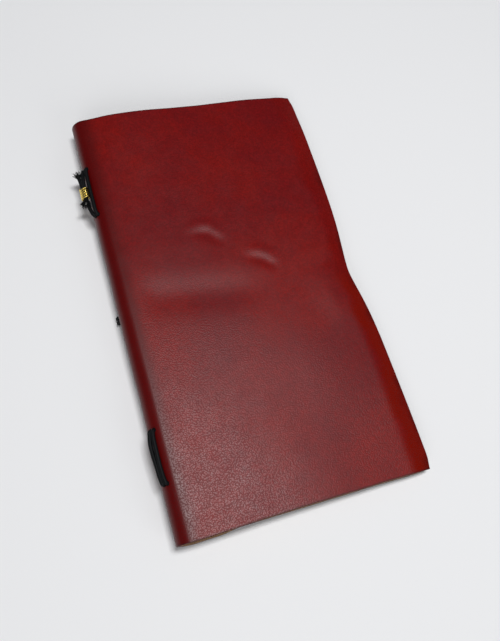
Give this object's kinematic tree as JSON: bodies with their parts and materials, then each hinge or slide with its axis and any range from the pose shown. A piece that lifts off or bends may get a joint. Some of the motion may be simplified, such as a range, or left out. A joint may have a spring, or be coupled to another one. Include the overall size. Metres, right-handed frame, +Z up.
{
  "type": "leather notebook cover",
  "caption": "Soft leather notebook cover with a rounded spine, two sewn-in paper refills held by an elastic cord, and a slack elastic closure; opens flat.",
  "frame": {"origin": "middle of the footprint, on the surface that the closed notebook lies on", "axes": "+X from the spine to the fore-edge, +Y from the tail to the head along the spine, +Z up through the front cover"},
  "size_m": [0.1288, 0.22, 0.0159],
  "materials": {
    "leather": "waxed, mottled oxblood full-grain leather with dark cut edges",
    "kraft": "uncoated kraft card",
    "paper": "uncoated cream paper",
    "elastic": "braided black covering over a rubber core",
    "brass_wire": "bright wound wire",
    "staple": "bright wire"
  },
  "bodies": {
    "back_cover": {"cover_back_panel": "leather", "rear_refill_kraft_cover": "kraft", "rear_refill_pages_upper": "paper", "rear_refill_pages_lower": "paper", "rear_refill_staples": "staple", "rear_refill_elastic": "elastic", "closure_elastic": "elastic", "closure_knot": "elastic"},
    "spine": {"cover_spine": "leather", "elastic_head_strand": "elastic", "elastic_end_from_head": "elastic", "elastic_end_from_tail": "elastic", "elastic_tail_upper_strand": "elastic", "elastic_tail_lower_strand": "elastic", "binding_wire": "brass_wire"},
    "front_cover": {"cover_front_panel": "leather", "front_refill_kraft_cover": "kraft", "front_refill_pages_upper": "paper", "front_refill_pages_lower": "paper", "front_refill_staples": "staple", "front_refill_elastic": "elastic"}
  },
  "joints": [
    {"name": "back_fold", "type": "hinge", "parent": "back_cover", "child": "spine", "pos_m": [-0.05838, 0, 0.00634], "axis": [0, -1, 0], "range_deg": [0, 105]},
    {"name": "front_fold", "type": "hinge", "parent": "spine", "child": "front_cover", "pos_m": [-0.05444, 0, 0.0148], "axis": [0, -1, 0], "range_deg": [0, 82]}
  ]
}
